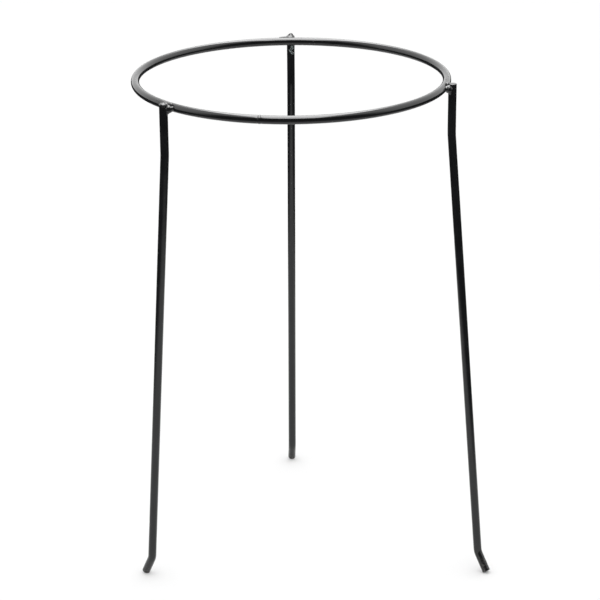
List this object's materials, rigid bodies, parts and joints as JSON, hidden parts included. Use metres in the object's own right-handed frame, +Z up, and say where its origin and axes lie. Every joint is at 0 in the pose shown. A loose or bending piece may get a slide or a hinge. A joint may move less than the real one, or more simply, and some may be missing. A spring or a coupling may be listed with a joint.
{
  "type": "tripod stand",
  "caption": "Welded round-rod stand: a level hoop on splayed, bent rod legs with short kicked-out toes, painted gloss black.",
  "frame": {"origin": "on the hoop's axis, at the level that the three toes rest on", "axes": "+Z up along the hoop's axis; seen from the front, +X is to the right and +Y to the back, where the single back leg stands"},
  "size_m": [0.3511, 0.3672, 0.5014],
  "materials": {
    "rod_paint": "gloss black enamel over round steel rod, thinly sprayed, with fine orange peel and rubbed toes",
    "weld_paint": "gloss black enamel over lumpy weld metal, with small chips and spatter"
  },
  "bodies": {
    "root": {"hoop": "rod_paint", "hoop_seam_weld": "weld_paint", "left_leg": "rod_paint", "right_leg": "rod_paint", "back_leg": "rod_paint", "left_top_weld": "weld_paint", "left_front_weld": "weld_paint", "left_rear_weld": "weld_paint", "right_top_weld": "weld_paint", "right_front_weld": "weld_paint", "right_rear_weld": "weld_paint", "back_top_weld": "weld_paint", "back_left_weld": "weld_paint", "back_right_weld": "weld_paint", "back_under_weld": "weld_paint"}
  },
  "joints": []
}
